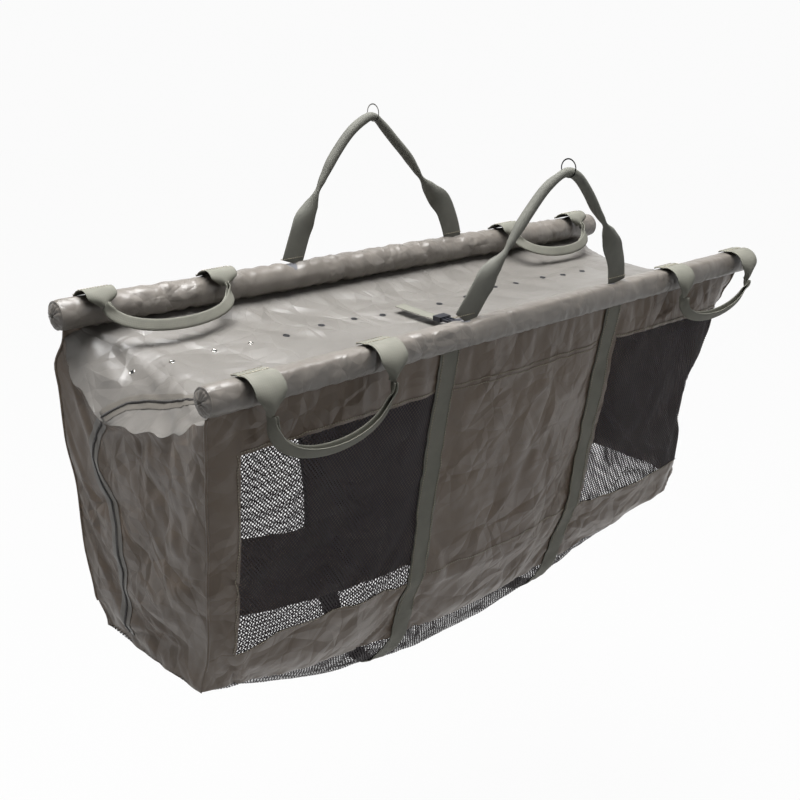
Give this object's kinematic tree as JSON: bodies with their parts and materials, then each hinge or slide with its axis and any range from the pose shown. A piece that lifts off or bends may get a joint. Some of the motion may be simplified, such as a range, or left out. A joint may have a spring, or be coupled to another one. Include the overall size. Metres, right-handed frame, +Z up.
{
  "type": "weigh sling",
  "caption": "Hanging fish weigh sling: a zipped nylon and mesh bag between two float bars, with ringed handles, grab straps and a side-release buckle.",
  "frame": {"origin": "the point where the two handle rings are hooked up together, midway between the bars and 0.260 m above their axes", "axes": "+X along the bars towards the end with the zip slider, +Y from the front bar to the back bar, +Z up"},
  "size_m": [1.2066, 0.4279, 0.922],
  "materials": {
    "coated_nylon": "olive-grey polyurethane-coated nylon with a soft sheen and crisp creases",
    "woven_webbing": "matt grey-green polyester webbing with a ribbed weave",
    "black_mesh": "black soft polyester mesh",
    "black_webbing": "matt black webbing",
    "closed_cell_foam": "grey closed-cell foam, hidden inside the sleeves",
    "glass_fibre_pole": "dark glass-fibre pole, hidden inside the foam",
    "nylon_coil": "dark nylon coil zip",
    "bright_ring_wire": "bright plated steel wire",
    "moulded_acetal": "black moulded acetal"
  },
  "bodies": {
    "bag": {"front_float_sleeve": "coated_nylon", "back_float_sleeve": "coated_nylon", "front_sleeve_end_left": "coated_nylon", "front_sleeve_end_right": "coated_nylon", "back_sleeve_end_left": "coated_nylon", "back_sleeve_end_right": "coated_nylon", "front_wall_border": "coated_nylon", "back_wall_border": "coated_nylon", "front_centre_panel": "coated_nylon", "back_centre_panel": "coated_nylon", "front_bottom_band": "coated_nylon", "back_bottom_band": "coated_nylon", "left_end_panel": "coated_nylon", "right_end_panel": "coated_nylon", "left_end_rear_strip": "coated_nylon", "right_end_rear_strip": "coated_nylon", "front_top_strip": "coated_nylon", "rear_top_strip": "coated_nylon", "carry_band_left": "woven_webbing", "carry_band_right": "woven_webbing", "front_keeper_1": "woven_webbing", "front_keeper_2": "woven_webbing", "front_keeper_3": "woven_webbing", "front_keeper_4": "woven_webbing", "back_keeper_1": "woven_webbing", "back_keeper_2": "woven_webbing", "back_keeper_3": "woven_webbing", "back_keeper_4": "woven_webbing", "front_mesh_left": "black_mesh", "front_mesh_right": "black_mesh", "back_mesh_left": "black_mesh", "back_mesh_right": "black_mesh", "belly_net": "black_mesh", "bar_tab": "black_webbing", "front_foam_float": "closed_cell_foam", "back_foam_float": "closed_cell_foam", "front_pole": "glass_fibre_pole", "back_pole": "glass_fibre_pole", "zip_wall_half": "nylon_coil", "zip_rear_half_left": "nylon_coil", "zip_rear_half_right": "nylon_coil", "buckle_socket": "moulded_acetal"},
    "lid": {"lid_panel": "coated_nylon", "zip_lid_half": "nylon_coil", "lid_tab": "woven_webbing"},
    "buckle_male": {"buckle_prongs": "moulded_acetal"},
    "front_handle": {"front_handle": "woven_webbing"},
    "back_handle": {"back_handle": "woven_webbing"},
    "front_ring": {"front_ring": "bright_ring_wire"},
    "back_ring": {"back_ring": "bright_ring_wire"},
    "front_grab_left": {"front_grab_left": "woven_webbing"},
    "front_grab_right": {"front_grab_right": "woven_webbing"},
    "back_grab_left": {"back_grab_left": "woven_webbing"},
    "back_grab_right": {"back_grab_right": "woven_webbing"},
    "slider": {"zip_slider": "bright_ring_wire"},
    "pull": {"zip_pull": "bright_ring_wire"}
  },
  "joints": [
    {"name": "lid_fold", "type": "hinge", "parent": "bag", "child": "lid", "pos_m": [0, 0.068, -0.29], "axis": [-1, 0, 0], "range_deg": [0, 100]},
    {"name": "buckle_slide", "type": "slide", "parent": "lid", "child": "buckle_male", "axis": [0, -1, 0], "range_m": [0, 0.019]},
    {"name": "front_handle_swing", "type": "hinge", "parent": "bag", "child": "front_handle", "pos_m": [0, -0.182, -0.2366], "axis": [1, 0, 0], "range_deg": [-38, 90]},
    {"name": "back_handle_swing", "type": "hinge", "parent": "bag", "child": "back_handle", "pos_m": [0, 0.182, -0.2351], "axis": [-1, 0, 0], "range_deg": [-32, 90]},
    {"name": "front_ring_tilt", "type": "hinge", "parent": "front_handle", "child": "front_ring", "pos_m": [0.069, -0.182, -0.045], "axis": [0, 1, 0], "range_deg": [-25, 25]},
    {"name": "back_ring_tilt", "type": "hinge", "parent": "back_handle", "child": "back_ring", "pos_m": [-0.003, 0.182, 0.002], "axis": [0, 1, 0], "range_deg": [-25, 25]},
    {"name": "front_grab_left_swing", "type": "hinge", "parent": "bag", "child": "front_grab_left", "pos_m": [-0.4215, -0.21887, -0.28635], "axis": [-1, 0, 0], "range_deg": [-15, 85]},
    {"name": "front_grab_right_swing", "type": "hinge", "parent": "bag", "child": "front_grab_right", "pos_m": [0.461, -0.21887, -0.28635], "axis": [-1, 0, 0], "range_deg": [-15, 85]},
    {"name": "back_grab_left_swing", "type": "hinge", "parent": "bag", "child": "back_grab_left", "pos_m": [-0.435, 0.14611, -0.24901], "axis": [-1, 0, 0], "range_deg": [0, 85]},
    {"name": "back_grab_right_swing", "type": "hinge", "parent": "bag", "child": "back_grab_right", "pos_m": [0.4315, 0.14611, -0.24901], "axis": [-1, 0, 0], "range_deg": [0, 85]},
    {"name": "zip_travel", "type": "slide", "parent": "bag", "child": "slider", "axis": [0, 0.1121, 0.9937], "range_m": [0, 0.34]},
    {"name": "zip_pull_swing", "type": "hinge", "parent": "slider", "child": "pull", "pos_m": [0.5874, 0.06548, -0.67662], "axis": [0, -0.9937, 0.1121], "range_deg": [0, 115]}
  ]
}
